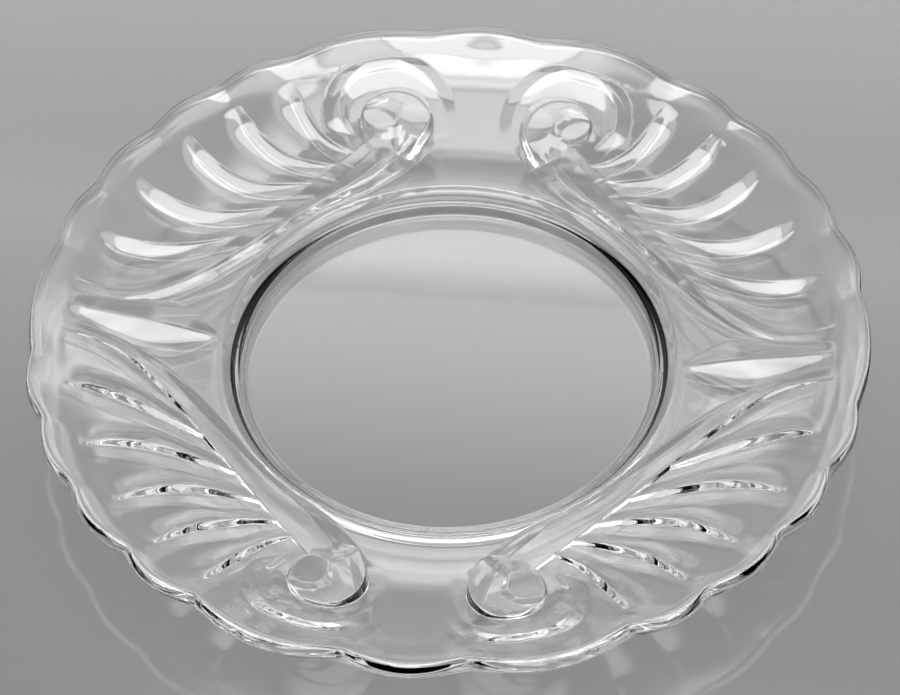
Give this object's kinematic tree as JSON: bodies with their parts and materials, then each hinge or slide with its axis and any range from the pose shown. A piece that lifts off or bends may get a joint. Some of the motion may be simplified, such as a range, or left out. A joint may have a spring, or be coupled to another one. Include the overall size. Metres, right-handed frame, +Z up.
{
  "type": "underplate",
  "caption": "Round pressed-glass underplate with a flat sunken well, a scalloped edge and mirrored scroll-and-fan relief on its rim.",
  "frame": {"origin": "centre of the flat base, on the surface that the plate stands on", "axes": "+Z up out of the plate; X and Y along the two mirror lines of the rim's motif"},
  "size_m": [0.1988, 0.201, 0.0214],
  "materials": {
    "glass": "clear, fire-polished"
  },
  "bodies": {
    "root": {"glass_plate": "glass"}
  },
  "joints": []
}
